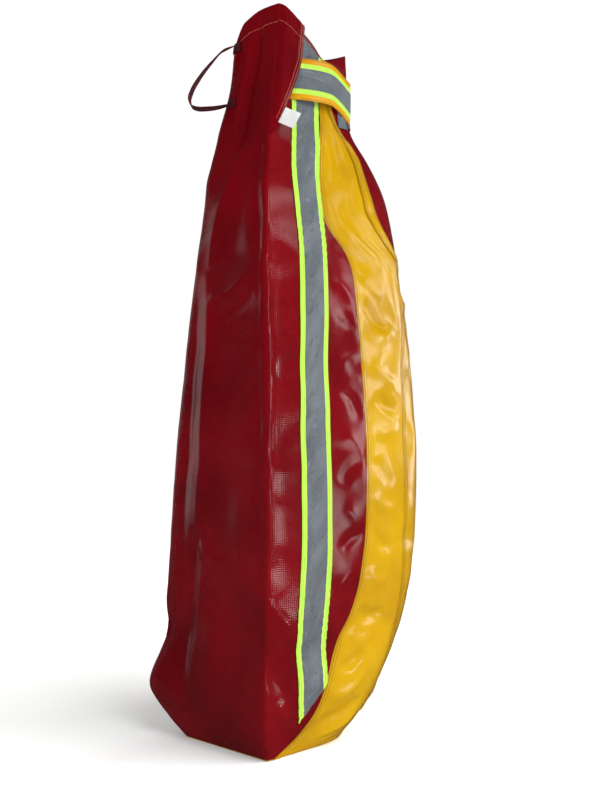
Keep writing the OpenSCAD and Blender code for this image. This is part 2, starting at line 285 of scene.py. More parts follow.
NEAR_FOLDS = [
    # A crest along the corner, a swelling beside it, and the folds above the base
    ([(0.0, 0.98), (0.0, 0.80), (0.0, 0.30), (0.0, 0.04)], 8, 3.5, True),
    ([(0.09, 0.80), (0.08, 0.60), (0.08, 0.40), (0.11, 0.25)], 9, 2, False),
    ([(0.06, 0.235), (0.20, 0.205), (0.36, 0.18), (0.52, 0.17)], 13, 7, True),
    ([(0.06, 0.16), (0.20, 0.12), (0.40, 0.115)], 18, -6, False),
    ([(0.24, 0.085), (0.40, 0.065), (0.54, 0.06)], 10, 5, True)]
# Short folds: the share across and the height of the start and of the end, and the rise in mm
NEAR_CREASES = [
    (0.74, 0.710, 0.96, 0.680), (0.76, 0.655, 0.95, 0.640), (0.74, 0.575, 0.97, 0.590),
    (0.76, 0.540, 0.95, 0.500), (0.75, 0.470, 0.96, 0.440), (0.74, 0.400, 0.92, 0.425),
    (0.75, 0.360, 0.94, 0.330), (0.76, 0.300, 0.95, 0.315), (0.76, 0.240, 0.92, 0.260)]
NECK_FAN = [
    (0.16, 0.99, 0.30, 0.88, 3), (0.34, 0.99, 0.52, 0.87, -3), (0.10, 0.93, 0.20, 0.80, -2.5),
    (0.52, 0.97, 0.70, 0.87, 3), (0.06, 0.86, 0.34, 0.77, 3), (0.40, 0.84, 0.64, 0.78, -2.5)]
BUCKLES = [
    (0.06, 0.735, 0.20, 0.700, 5), (0.05, 0.690, 0.16, 0.645, -5), (0.08, 0.640, 0.20, 0.655, 4),
    (0.04, 0.590, 0.15, 0.560, 4), (0.05, 0.540, 0.13, 0.520, -5), (0.03, 0.480, 0.12, 0.500, 5),
    (0.04, 0.440, 0.10, 0.400, -4), (0.03, 0.380, 0.12, 0.360, 4), (0.03, 0.330, 0.12, 0.300, -5),
    (0.03, 0.270, 0.12, 0.250, 4), (0.04, 0.215, 0.16, 0.200, -6), (0.05, 0.180, 0.16, 0.165, 5),
    (0.04, 0.130, 0.15, 0.145, -5), (0.03, 0.085, 0.18, 0.105, 6), (0.05, 0.050, 0.22, 0.070, -7),
    (0.10, 0.025, 0.26, 0.045, 6)]
# Swellings and hollows at the far rear corner, which shape the left outline: height, size, rise in mm
CORNER_DENTS = [(0.965, (0.05, 0.055), 9), (0.90, (0.05, 0.05), 4),
                (0.165, (0.055, 0.028), -9), (0.085, (0.05, 0.04), 5)]
DEEPEST, HIGHEST = -10 * MM, 9 * MM


def folds():
    """How far each point of the ring moves out along its normal."""
    u, v = steps_along(base, 1), steps_along(base, 0)
    out = 2.0 * MM * cloth_noise(u, v, 1.5, (0.11, 0.30))
    out += 0.8 * MM * cloth_noise(u, v, 7.5, (0.05, 0.10))
    for path, width, rise, sharp in BACK_FOLDS:
        out += fold("back_panel", path, width * MM, rise * MM, sharp)
    out += dent("back_panel", 0.62, 0.50, (0.07, 0.16), -4 * MM)
    for path, width, rise, sharp in NEAR_FOLDS:
        out += fold("near_side_panel", path, width * MM, rise * MM, sharp)
    for i, ends in enumerate(NEAR_CREASES):
        out += fold("near_side_panel", bowed(*ends, up=0.012), (7 + i % 3 * 2) * MM,
                    (3.4 - i % 2 * 6.4) * MM, sharp=i % 2 == 0)
    for *ends, rise in NECK_FAN:
        out += fold("front_gusset", bowed(*ends, across=0.02), 13 * MM, rise * MM)
    for *ends, rise in BUCKLES:
        out += fold("front_gusset", bowed(*ends, up=-0.010), 9 * MM, rise * MM * 1.25, sharp=rise > 0)
    # The rest of the front, and the far side in longer waves, which no photo shows
    for i in range(14):
        side = 0.40 + 0.28 * (i % 2) + 0.03 * (i % 5)
        z = 0.06 + 0.052 * i
        path = [(side - 0.07, z), (side, z + 0.016 * (-1) ** i), (side + 0.08, z + 0.01)]
        out += fold("front_gusset", path, 11 * MM, (4 - 7 * (i % 3 == 1)) * MM)
    for i in range(9):
        z = 0.12 + 0.085 * i
        path = [(0.16 + 0.02 * (i % 3), z), (0.30, z + 0.02), (0.42, z + 0.012 * (i % 4))]
        out += fold("far_side_panel", path, 12 * MM, (4 - 8 * (i % 2)) * MM)
        path = [(0.62, z + 0.03), (0.78, z + 0.02), (0.94, z + 0.045)]
        out += fold("far_side_panel", path, 13 * MM, (3 - 6 * (i % 2)) * MM)
    # The base keeps its place, and the rim nearly does
    ease = np.clip(v / 0.05, 0, 1) * np.clip((v.max(0) - v) / 0.03, 0.25, 1)
    corner = sum(dent("back_panel", 0.0, z, size, rise * MM) for z, size, rise in CORNER_DENTS)
    return (np.clip(out, DEEPEST, HIGHEST) + corner) * ease


# ---- Slack, by cloth simulation ----

SIM_STEP = 2  # the simulated cloth has every second row and column of the ring
SIM_FRAMES = 24
SIM_SLACK = 0.005  # spare cloth, as a share of its size
MOST_SLACK = 6.5 * MM
SLACK_SHARE = {"near_side_panel": 0.5, "front_gusset": 1.0, "far_side_panel": 0.8,
               "back_panel": 0.35}


def slack_mesh():
    """A coarser copy of the ring, with its seams, rim and base in a pin group."""
    u, v = (steps_along(base, axis)[::SIM_STEP, ::SIM_STEP] for axis in (1, 0))
    ring = base[::SIM_STEP, ::SIM_STEP]
    start = 0.8 * MM * cloth_noise(u, v, 3.3, (0.04, 0.05))
    start = ring + base_normals[::SIM_STEP, ::SIM_STEP] * start[..., None]
    index = np.arange(ring[..., 0].size).reshape(ring.shape[:2])
    mesh = bpy.data.meshes.new("slack")
    mesh.from_pydata(start.reshape(-1, 3).tolist(), [], ring_quads(index).tolist())
    cloth = add_object("slack", mesh)
    seams = [span[panel][0] // SIM_STEP for panel in PANELS]
    pinned = np.concatenate([index[[0, 1, -2, -1]].reshape(-1), index[:, seams].reshape(-1)])
    cloth.vertex_groups.new(name="pinned").add(np.unique(pinned).tolist(), 1.0, "REPLACE")
    return cloth, ring


def slack():
    """How far stiff cloth, cut a little too large between its seams, buckles in or out."""
    cloth, ring = slack_mesh()
    modifier = cloth.modifiers.new("slack", "CLOTH")
    modifier.point_cache.frame_end = SIM_FRAMES
    modifier.collision_settings.use_collision = False
    stiff = modifier.settings
    stiff.quality = 5
    stiff.tension_stiffness = stiff.compression_stiffness = 40
    stiff.shear_stiffness = 24
    stiff.bending_stiffness = 20
    stiff.air_damping = 5
    stiff.vertex_group_mass = "pinned"
    stiff.shrink_min = -SIM_SLACK
    stiff.effector_weights.gravity = 0
    for n in range(SIM_FRAMES):
        bpy.context.scene.frame_set(n + 1)
    result = cloth.evaluated_get(bpy.context.evaluated_depsgraph_get()).data
    moved = np.zeros(ring.size)
    result.vertices.foreach_get("co", moved)
    bpy.context.scene.frame_set(1)
    bpy.data.objects.remove(cloth)
    moved = moved.reshape(ring.shape) - ring
    out = (moved * base_normals[::SIM_STEP, ::SIM_STEP]).sum(-1, keepdims=True)
    share = np.concatenate([np.full((span[p][1] - span[p][0]) // SIM_STEP, SLACK_SHARE[p])
                            for p in PANELS])
    out = out * share[None, :, None]
    out = finer(np.concatenate([out, out[:, :1]], 1), SIM_STEP, axis=1)[:, :-1]
    out = finer(out, SIM_STEP)[:rows, :, 0]
    return np.tanh(out / MOST_SLACK) * MOST_SLACK


skin = soften(base + base_normals * (folds() + slack())[..., None], 1)
skin_normals = ring_normals(skin)
flat_u, flat_v = steps_along(base, 1), steps_along(base, 0)


# ---- Points that follow the cloth ----

def skin_tree():
    quads = ring_quads(np.arange(rows * around).reshape(rows, around))
    return BVHTree.FromPolygons(base.reshape(-1, 3).tolist(), quads.tolist())


TREE = skin_tree()


def on_skin(points, lift=0.0):
    """Moves points of the CAD surface onto the folded cloth, lifted off it. Gives their normals too."""
    flat = np.asarray(points, float).reshape(-1, 3)
    places, normals = np.empty_like(flat), np.empty_like(flat)
    lifts = np.broadcast_to(lift, np.shape(points)[:-1]).reshape(-1)
    for n, p in enumerate(flat):
        _, _, face, _ = TREE.find_nearest(Vector(p))
        i, k = divmod(face, around)
        j = (k + 1) % around
        a, right, up = base[i, k], base[i, j] - base[i, k], base[i + 1, k] - base[i, k]
        s = min(max((p - a) @ right / max(right @ right, 1e-12), 0), 1)
        t = min(max((p - a) @ up / max(up @ up, 1e-12), 0), 1)
        shares = np.array([(1 - s) * (1 - t), s * (1 - t), s * t, (1 - s) * t])
        corners = ([i, i, i + 1, i + 1], [k, j, j, k])
        normals[n] = shares @ skin_normals[corners]
        places[n] = shares @ skin[corners]
    normals = unit(normals)
    places += normals * lifts[:, None]
    return places.reshape(np.shape(points)), normals.reshape(np.shape(points))


def grid_normals(grid):
    return unit(np.cross(np.gradient(grid, axis=1), np.gradient(grid, axis=0)))


# ---- Meshes ----

def make_object(name, points, faces, look, body, loop_normals=None):
    """A smooth piece. Its look is a material, which the piece gets, and a slot name, which is not used.
    """
    material, slot_name = look
    mesh = bpy.data.meshes.new(name)
    mesh.from_pydata(np.asarray(points).tolist(), [], [list(map(int, f)) for f in faces])
    mesh.polygons.foreach_set("use_smooth", [True] * len(mesh.polygons))
    if loop_normals is not None:
        mesh.normals_split_custom_set(loop_normals.tolist())
    mesh.materials.append(material)
    piece = add_object(name, mesh)
    if body:
        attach(piece, body)
    return piece


def set_flat(piece, values):
    """Keeps each point's place on the flat cloth, in metres, for the weave, the wear and the painted
    seam shade.
    """
    layer = piece.data.attributes.new("flat", "FLOAT_VECTOR", "POINT")
    layer.data.foreach_set("vector", np.asarray(values, np.float32).reshape(-1))


def strip_flat(grid):
    """The place on the flat cloth of each point of a grid: across, along, distance to an edge."""
    u, v = steps_along(grid, 1), steps_along(grid, 0)
    edge = np.minimum(np.minimum(u, u[:, -1:] - u), np.minimum(v, v[-1:] - v))
    return np.stack([u - u[:, -1:] / 2, v, edge], -1)


def sheet_piece(name, outer, normals, thick, look, body, flat=None, round_edge=0.35):
    """A closed sheet of cloth under an outer grid, its edges rounded by a share of its thickness."""
    m, n = outer.shape[:2]
    count = m * n
    edge = np.zeros((m, n, 1))
    edge[[0, -1]] = edge[:, [0, -1]] = thick * round_edge
    points = np.concatenate([(outer - normals * edge).reshape(-1, 3),
                             (outer - normals * (thick - edge)).reshape(-1, 3)])
    index = np.arange(count).reshape(m, n)
    front = np.stack([index[:-1, :-1], index[:-1, 1:], index[1:, 1:], index[1:, :-1]], -1)
    front = front.reshape(-1, 4)
    rim = np.concatenate([index[0, :-1], index[:-1, -1], index[-1, :0:-1], index[:0:-1, 0]])
    after = np.roll(rim, -1)
    walls = np.stack([rim, rim + count, after + count, after], -1)
    faces = np.concatenate([front, front[:, ::-1] + count, walls])
    n_flat = normals.reshape(-1, 3)
    a, b, c = points[walls[:, 0]], points[walls[:, 1]], points[walls[:, 2]]
    side = unit(np.cross(b - a, c - a))
    loop_normals = np.concatenate([n_flat[front.reshape(-1)], -n_flat[front[:, ::-1].reshape(-1)],
                                   np.repeat(side, 4, 0)])
    piece = make_object(name, points, faces, look, body, loop_normals)
    values = strip_flat(outer) if flat is None else flat
    set_flat(piece, np.concatenate([values.reshape(-1, 3)] * 2))
    return piece


# ---- Materials ----

def rgb(code):
    """A linear colour from six hexadecimal digits."""
    parts = [int(code[i:i + 2], 16) / 255 for i in (0, 2, 4)]
    return [p / 12.92 if p <= 0.04045 else ((p + 0.055) / 1.055) ** 2.4 for p in parts] + [1.0]


class Look:
    """A material, whose node tree is built up one node at a time."""

    def __init__(self, name, **sockets):
        self.material = bpy.data.materials.new(name)
        self.material.use_nodes = True
        self.tree = self.material.node_tree
        self.shader = self.tree.nodes["Principled BSDF"]
        for socket, value in sockets.items():
            self.shader.inputs[socket.replace("_", " ")].default_value = value
        self.flat = self.node("Attribute", attribute_name="flat").outputs["Vector"]
        split = self.node("SeparateXYZ", {0: self.flat})
        self.across, self.along, self.edge = split.outputs
        self.place = self.node("TexCoord").outputs["Object"]

    def feed(self, socket, value):
        if isinstance(value, bpy.types.NodeSocket):
            self.tree.links.new(value, socket)
        else:
            socket.default_value = value

    def node(self, kind, inputs=None, **settings):
        node = self.tree.nodes.new("ShaderNode" + kind)
        for key, value in settings.items():
            setattr(node, key, value)
        for key, value in (inputs or {}).items():
            self.feed(node.inputs[key], value)
        return node

    def math(self, operation, a, b=0.0):
        return self.node("Math", {0: a, 1: b}, operation=operation).outputs[0]

    def times(self, a, b):
        return self.math("MULTIPLY", a, b)

    def plus(self, a, b):
        return self.math("ADD", a, b)

    def minus(self, a, b):
        return self.math("SUBTRACT", a, b)

    def apart(self, a, b):
        return self.math("ABSOLUTE", self.minus(a, b))

    def noise(self, where, scale, detail=3.0):
        inputs = {"Vector": where, "Scale": scale, "Detail": detail}
        return self.node("TexNoise", inputs).outputs["Fac"]

    def ramp(self, value, low, high):
        inputs = {"Value": value, "From Min": low, "From Max": high}
        return self.node("MapRange", inputs, interpolation_type="SMOOTHSTEP").outputs[0]

    def patches(self, where, scale, detail, low, high):
        """Smooth-edged patches, where noise goes over a level."""
        return self.ramp(self.noise(where, scale, detail), low, high)

    def line(self, value, slope, start):
        return self.plus(self.times(value, slope), start)

    def mix(self, share, a, b):
        return self.node("Mix", {0: share, 6: a, 7: b}, data_type="RGBA").outputs[2]

    def tint(self, share, code, strength=1.0):
        """Lays a colour over the colour so far."""
        if strength != 1.0:
            share = self.times(share, strength)
        self.colour = self.mix(share, self.colour, rgb(code))

    def stretched(self, where, **settings):
        return self.node("Mapping", {"Vector": where, **settings}).outputs[0]

    def wave(self, value, period):
        """A sine of a length on the flat cloth."""
        return self.math("SINE", self.times(value, TAU / period))

    def diagonal(self, period):
        """A basket weave that runs at 45 degrees to the cloth, from -1 to 1."""
        one = self.wave(self.plus(self.across, self.along), period)
        other = self.wave(self.minus(self.across, self.along), period)
        return self.times(one, other)

    def finish(self, roughness, height, distance):
        self.feed(self.shader.inputs["Base Color"], self.colour)
        self.feed(self.shader.inputs["Roughness"], roughness)
        bump = self.node("Bump", {"Height": height, "Distance": distance, "Strength": 1.0})
        self.feed(self.shader.inputs["Normal"], bump.outputs[0])
        self.feed(self.shader.inputs["Coat Normal"], bump.outputs[0])
        return self.material


def vinyl(name, deep, mid, light, scuff, shade_colour, weave=6.4 * MM, sewn=()):
    """Glossy PVC-coated fabric, whose weave shows through, its crests painted lighter as a highlight.
    Stitches pull it in along sewn rows, which are darkened with painted shade, and a thin line of
    painted seam shadow and seam dirt runs along its edges.
    """
    look = Look(name, Coat_Weight=0.9, Coat_Roughness=0.10, Coat_IOR=1.5, Specular_IOR_Level=0.12)
    cloudy = look.patches(look.place, 7.0, 3.0, 0.30, 0.72)
    mottle = look.patches(look.flat, 55.0, 5.0, 0.35, 0.75)
    look.colour = look.mix(cloudy, rgb(deep), rgb(mid))
    look.tint(mottle, light, 0.15)
    weave_height = look.diagonal(weave)
    # Painted highlight: the weave's crests are tinted lighter, as where the weave catches the light
    look.tint(look.ramp(weave_height, 0.2, 2.6), light)
    rubbed = look.patches(look.flat, 130.0, 6.0, 0.62, 0.74)
    near_edge = look.ramp(look.edge, 5 * MM, 0.0)
    wear = look.times(rubbed, look.plus(near_edge, 0.02))
    look.tint(wear, scuff)
    # A thin dark line along each edge of the cloth: painted shadow of the seam, and seam dirt
    seam_shade = look.times(look.ramp(look.edge, 1.4 * MM, 0.3 * MM), 0.5)
    look.tint(seam_shade, shade_colour)
    rough = look.line(look.noise(look.flat, 38.0, 4.0), 0.18, 0.20)
    rough = look.plus(rough, look.times(wear, 0.3))
    creases = look.noise(look.flat, 90.0, 3.0)
    height = look.line(weave_height, 0.6, creases)
    for inset in sewn:
        away = look.apart(look.edge, inset)
        pull = look.ramp(away, 1.1 * MM, 0.2 * MM)
        # Painted shade in the dip along each sewn row
        look.tint(pull, shade_colour, 0.5)
        height = look.minus(height, look.times(pull, 3.0))
    return look.finish(rough, height, 0.08 * MM)


def ribbed(name, dark, light, period, sheen, roughness, glow=0.0):
    """A woven tape: ribs across it, threads along it, and dust in the weave. The weave is painted
    lighter where raised and darker in its hollows, as painted shade, and the tape is darker towards its
    edges.
    """
    look = Look(name, Sheen_Weight=sheen, Emission_Strength=glow)
    look.shader.inputs["Emission Color"].default_value = rgb(light)
    ribs = look.wave(look.along, period)
    threads = look.wave(look.across, period * 1.3)
    weave = look.times(ribs, threads)
    dust = look.patches(look.flat, 70.0, 5.0, 0.35, 0.8)
    # Painted shade: the raised weave is lighter and its hollows darker
    look.colour = look.mix(look.ramp(weave, -0.9, 0.9), rgb(dark), rgb(light))
    look.tint(dust, dark, 0.35)
    # Darker towards the edges
    darkened = look.times(look.ramp(look.edge, 1.2 * MM, 0.0), 0.5)
    look.tint(darkened, dark)
    rough = look.line(dust, 0.15, roughness)
    return look.finish(rough, weave, 0.12 * MM)


def reflective(name):
    """Silver retro-reflective film: fine glass beads, with rubbed and creased places, and thin crease
    lines of painted shade.
    """
    look = Look(name, Metallic=0.1, Specular_IOR_Level=0.4)
    beads = look.node("TexVoronoi", {"Vector": look.flat, "Scale": 1100.0}).outputs["Distance"]
    cloudy = look.patches(look.flat, 22.0, 5.0, 0.30, 0.72)
    creased = look.noise(look.stretched(look.flat, Scale=(0.4, 1.0, 1.0)), 85.0, 3.0)
    look.colour = look.mix(cloudy, rgb("575d63"), rgb("6c7379"))
    look.tint(look.ramp(creased, 0.60, 0.80), "7a8288")
    look.tint(look.ramp(beads, 0.55, 0.1), "848c92", 0.3)
    # Thin dark crease lines: painted shade of creases that the film's shape doesn't have
    slanted = look.stretched(look.flat, Rotation=(0, 0, 0.5), Scale=(0.5, 1.6, 1.0))
    line = look.apart(look.noise(slanted, 26.0, 2.0), 0.5)
    crease = look.times(look.ramp(line, 0.018, 0.0), 0.45)
    look.tint(crease, "3c4146")
    rough = look.line(cloudy, 0.12, 0.42)
    height = look.line(beads, 0.10, creased)
    return look.finish(rough, height, 0.5 * MM)


def thread(name, dark, light):
    """Waxed sewing thread, twisted, with painted shade in the grooves of the twist."""
    look = Look(name, Sheen_Weight=0.3)
    twist = look.wave(look.plus(look.along, look.across), 0.9 * MM)
    # Painted shade: the twist's ridges are lighter and its grooves darker
    look.colour = look.mix(look.ramp(twist, -0.8, 0.8), rgb(dark), rgb(light))
    darkened = look.patches(look.place, 60.0, 3.0, 0.4, 0.7)
    look.tint(darkened, dark, 0.3)
    rough = look.line(darkened, 0.2, 0.45)
    return look.finish(rough, twist, 0.15 * MM)


def pile(name, dark, light):
    """The hooks or loops of a hook-and-loop patch, with painted shade in the gaps between the tufts."""
    look = Look(name, Sheen_Weight=0.4, Specular_IOR_Level=0.3)
    tufts = look.node("TexVoronoi", {"Vector": look.flat, "Scale": 800.0}).outputs["Distance"]
    # Painted shade: the tufts' tops are lighter and the gaps between them darker
    look.colour = look.mix(look.ramp(tufts, 0.1, 0.6), rgb(light), rgb(dark))
    look.tint(look.patches(look.flat, 200.0, 3.0, 0.55, 0.8), "3c3b3a")
    rough = look.line(tufts, 0.2, 0.65)
    return look.finish(rough, look.times(tufts, -1.0), 0.6 * MM)


def metal(name):
    """Nickel-plated brass, brushed and lightly tarnished."""
    look = Look(name, Metallic=1.0)
    tarnish = look.patches(look.place, 420.0, 5.0, 0.4, 0.75)
    look.colour = look.mix(tarnish, rgb("c9c4b8"), rgb("8f8878"))
    scratch = look.noise(look.stretched(look.place, Scale=(1.0, 1.0, 9.0)), 900.0, 2.0)
    rough = look.line(tarnish, 0.25, 0.20)
    return look.finish(rough, scratch, 0.05 * MM)


def plain_floor():
    look = Look("floor", Roughness=0.6, Specular_IOR_Level=0.0, Emission_Strength=0.16)
    look.shader.inputs["Emission Color"].default_value = (1, 1, 1, 1)
    grain = look.noise(look.place, 3.0)
    look.colour = look.mix(grain, rgb("f4f4f3"), rgb("fbfbfa"))
    return look.finish(look.ramp(grain, -1.4, 2.0), grain, 0.1 * MM)


# Each look: a material, and the slot of the record that its pieces stand for
RED = vinyl("red_vinyl", "5c0007", "77000c", "860010", "b84454", "300004"), "red_vinyl"
YELLOW = vinyl("yellow_vinyl", "b28502", "c69a02", "d2a606", "f0d070", "8c5c06",
               sewn=(3 * MM, 8 * MM)), "yellow_vinyl"
STRAP_YELLOW = vinyl("strap_yellow", "c88a06", "dc9c0a", "e6ae22", "ecc878", "8a5004",
                     weave=4.8 * MM), "yellow_vinyl"
LIME = ribbed("lime_tape", "a2e02c", "d4ff66", 1.5 * MM, 0.2, 0.50, glow=0.10), "lime_tape"
SILVER = reflective("silver_tape"), "silver_tape"
WEBBING = ribbed("webbing_red", "3c0210", "6a0a1a", 1.9 * MM, 0.0, 0.6), "webbing_red"
HOOK_LOOP = pile("hook_loop_black", "050505", "232221"), "hook_loop_black"
METAL = metal("snap_metal"), "snap_metal"
LABEL = ribbed("label_white", "d9dad9", "f6f6f4", 0.8 * MM, 0.3, 0.65), "label_white"
THREAD_RED = thread("thread_red", "3a0006", "7a0d16"), "red_vinyl"
THREAD_ORANGE = thread("thread_orange", "d8503a", "f89a78"), "red_vinyl"
THREAD_YELLOW = thread("thread_yellow", "7d5c0c", "b08618"), "yellow_vinyl"
THREAD_LIME = thread("thread_lime", "3f8410", "6fb01c"), "lime_tape"
THREAD_WHITE = thread("thread_white", "bdbdbb", "f0f0ee"), "label_white"


# ---- Wall panels ----

LAP = 1.0 * MM  # how far the yellow edge stands on the red one
INSIDE = 50 * MM  # a distance to the edge that counts as far from it


def ring_columns(first, last):
    return np.arange(first, last + 1) % around


def loft(name, rings, look, body):
    """A closed skin over a list of closed rings of points, capped at both ends."""
    index = np.arange(rings[..., 0].size).reshape(rings.shape[:2])
    faces = ring_quads(index).tolist() + [index[0, ::-1].tolist(), index[-1].tolist()]
    return make_object(name, rings.reshape(-1, 3), faces, look, body)


def declare(flat_grid):
    """Works out how large the cloth of a piece was cut, from the grid it was made from, and keeps
    neither size.
    """
    width = round(float(steps_along(flat_grid, 1)[:, -1].max()), 4)
    length = round(float(steps_along(flat_grid, 0)[-1].max()), 4)


def wall(node, look, under=(0, 0), lap=0.0):
    """One wall panel. Its edges reach under its neighbours by some columns, or lap over them."""
    first, last = span[node]
    columns = ring_columns(first - under[0], last + under[1])
    outer, normals = skin[:, columns], skin_normals[:, columns]
    u, v = flat_u[:, columns], flat_v[:, columns]
    across = steps_along(outer, 1)
    edge = np.minimum(across, across[:, -1:] - across)
    if lap:
        outer = outer + normals * (lap * np.clip(1.4 - edge / (16 * MM), 0, 1))[..., None]
    flat = np.stack([across if lap else u, v, np.minimum(edge if lap else INSIDE, v.max(0) - v)], -1)
    piece = sheet_piece(f"{node}_cloth", outer, normals, CLOTH, look, "bag", flat)
    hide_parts(node)
    declare(base[:, columns])


wall("near_side_panel", RED, under=(0, 2))
wall("far_side_panel", RED, under=(2, 0))
wall("back_panel", RED)
wall("front_gusset", YELLOW, lap=LAP)


def floor_of_bag():
    """The base: a flat disc with a turned-up welt, sewn inside the lower edge of the walls."""
    outline = skin[0, ::2][::-1]
    centre = outline.mean(0)
    # Rings from the middle out and back in: a share of the outline, and a height in mm
    under = [(0.02, 0.8), (0.15, 0.8), (0.35, 0.8), (0.55, 0.6), (0.75, 0.4), (0.90, 0.1),
             (0.97, 0.0), (0.997, 0.3), (1.006, 1.6), (1.004, 3.4)]
    over = [(0.985, 3.4), (0.97, 2.0)] + [(share, z + 1.5) for share, z in under[4::-1]]
    rings, flat = [], []
    for share, z in under + over:
        ring = centre + (outline - centre) * share
        ring[:, 2] = z * MM
        rings.append(ring)
        flat.append(np.stack([ring[:, 0], ring[:, 1], np.full(len(ring), (1.01 - share) * 0.1)], -1))
    piece = loft("base_cloth", np.stack(rings), YELLOW, "bag")
    set_flat(piece, np.stack(flat))
    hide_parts("base_panel")


floor_of_bag()


# ---- Lines of stitches ----

def resampled(line, normals, pitch):
    """The points in the middle of each stitch of a line, and the cloth's normals there."""
    length = length_along(line)
    at = np.arange(pitch / 2, length[-1], pitch)
    places, ups = (np.stack([np.interp(at, length, values[:, c]) for c in range(3)], 1)
                   for values in (line, normals))
    return places, unit(ups)


# A stitch's rings: a place along it, a thickness and a height, as shares of its half length and radius
STITCH = ((-1.0, 0.35, -0.9), (-0.62, 0.9, -0.1), (0.0, 1.0, 0.25), (0.62, 0.9, -0.1), (1.0, 0.35, -0.9))
SIDES = 6


def stitches(name, lines, look, body="bag", pitch=4.2 * MM, radius=0.42 * MM, share=0.72):
    """Lock stitches along lines of points: short arched threads that dip into the cloth."""
    angle = np.arange(SIDES) * TAU / SIDES
    shape = np.array([[x, r * math.cos(a), r * math.sin(a) + lift]
                      for x, r, lift in STITCH for a in angle])
    index = np.arange(len(shape)).reshape(-1, SIDES)
    quads = ring_quads(index).tolist()
    caps = [index[0, ::-1].tolist(), index[-1].tolist()]
    points, faces, flat = [], [], []
    for line, normals in lines:
        line, normals = resampled(line, normals, pitch)
        ahead = unit(np.gradient(line, axis=0))
        beside = unit(np.cross(normals, ahead))
        for n, (p, t, b, up) in enumerate(zip(line, ahead, beside, normals)):
            first = len(points) * len(shape)
            local = shape * np.array([pitch * share / 2, radius, radius])
            points.append(p + local[:, :1] * t + local[:, 1:2] * b + local[:, 2:] * up)
            faces += [[i + first for i in face] for face in quads + caps]
            flat.append(local + np.array([0, n * pitch, 0]))
    piece = make_object(name, np.concatenate(points), faces, look, body)
    set_flat(piece, np.concatenate(flat))


STITCH_LIFT = 0.25 * MM  # height of a thread's middle line over a strip


def edge_lines(outer, normals, insets, lift=STITCH_LIFT):
    """Lines along a strip, at distances in from its first edge, or from its last if negative."""
    lines = []
    u = steps_along(outer, 1)
    for inset in insets:
        at = np.broadcast_to(inset if inset >= 0 else u[:, -1] + inset, u.shape[:1])
        places, ups = (np.stack([[np.interp(at[i], u[i], values[i, :, c]) for c in range(3)]
                                 for i in range(len(u))]) for values in (outer, normals))
        ups = unit(ups)
        lines.append((places + ups * lift, ups))
    return lines


def seam_lines(seam, step, distances, low, high, lift):
    """Lines up the cloth beside a seam's column, on the side that step says."""
    heights = skin[:, seam % around, 2]
    inside = (heights >= low) & (heights <= high)
    columns = (seam + step * np.arange(around // 2)) % around
    return edge_lines(skin[inside][:, columns], skin_normals[inside][:, columns], distances, lift)


NEAR_SEAM, FAR_SEAM = span["near_side_panel"][1], span["far_side_panel"][0]
BACK_START, BACK_END = span["back_panel"]
for name, look, *where in (
        ("near_seam", THREAD_YELLOW, NEAR_SEAM, 1, (3.5 * MM,), 0.012, 1.08, LAP + 0.2 * MM),
        ("far_seam", THREAD_YELLOW, FAR_SEAM, -1, (3.5 * MM, 9 * MM), 0.012, 1.08, LAP + 0.2 * MM),
        ("back_seam", THREAD_RED, BACK_START, 1, (12 * MM, 17 * MM), 0.03, 1.09, 0.3 * MM)):
    stitches(f"{name}_stitches", seam_lines(*where), look)


# ---- Tapes and strips sewn on the cloth ----

TAPE = 0.5 * MM  # thickness of the tapes and of the label
FOUR_ROWS = (2 * MM, 6 * MM, -6 * MM, -2 * MM)  # the lime tape's rows, in from its two edges
TAPE_THREAD = {"pitch": 3.4 * MM, "radius": 0.32 * MM}


def dense(node, columns, down, across):
    return finer(finer(cad_grid(node, columns), down), across, axis=1)


def sewn_sheet(node, grid, lift, thick, look, ripple=0.0):
    """A strip that follows the cloth. It puckers a little between its stitches."""
    u, v = steps_along(grid, 1), steps_along(grid, 0)
    wavy = cloth_noise(u, v, 3.5, (0.05, 0.022)) * ripple
    across = u / u[:, -1:]
    arch = np.sin(np.pi * np.clip(across, 0, 1)) ** 0.5 * 0.4
    outer, normals = on_skin(grid, lift + wavy * arch)
    smooth = grid_normals(outer)
    smooth = smooth * np.sign((smooth * normals).sum(-1, keepdims=True))
    piece = sheet_piece(f"{node}_cloth", outer, smooth, thick, look, "bag")
    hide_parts(node)
    declare(grid)
    return outer, smooth


def slid(grid, distance):
    """A tape moved across by a distance at the neck, where it leans over towards the front."""
    across = unit(grid[:, -1:] - grid[:, :1])
    return grid + across * distance * np.clip((grid[..., 2:] - 1.03) / 0.05, 0, 1)


for side, slide in (("near", 6 * MM), ("far", 0.0)):
    grid = slid(dense(f"{side}_tape", 4, 8, 5), slide)
    tape = sewn_sheet(f"{side}_tape", grid, 1.9 * MM, TAPE, LIME, ripple=1.6 * MM)
    stitches(f"{side}_tape_stitches", edge_lines(*tape, FOUR_ROWS), THREAD_LIME, **TAPE_THREAD)
    grid = slid(dense(f"{side}_tape_silver", 2, 8, 12), slide)
    sewn_sheet(f"{side}_tape_silver", grid, 2.5 * MM, TAPE, SILVER, ripple=2.4 * MM)

for node, columns, down, across, lift, ripple, rows_in in (
        ("placket_strip", 5, 10, 5, 0.9, 3.0, (3 * MM, 8 * MM, -8 * MM, -3 * MM)),
        ("gusset_hem", 3, 10, 6, 1.9, 1.5, (3 * MM, -3 * MM))):
    strip = sewn_sheet(node, dense(node, columns, down, across), lift * MM, 1.4 * MM, YELLOW,
                       ripple=ripple * MM)
    piece_name = node.replace("_strip", "") + "_stitches"
    stitches(piece_name, edge_lines(*strip, rows_in), THREAD_YELLOW)


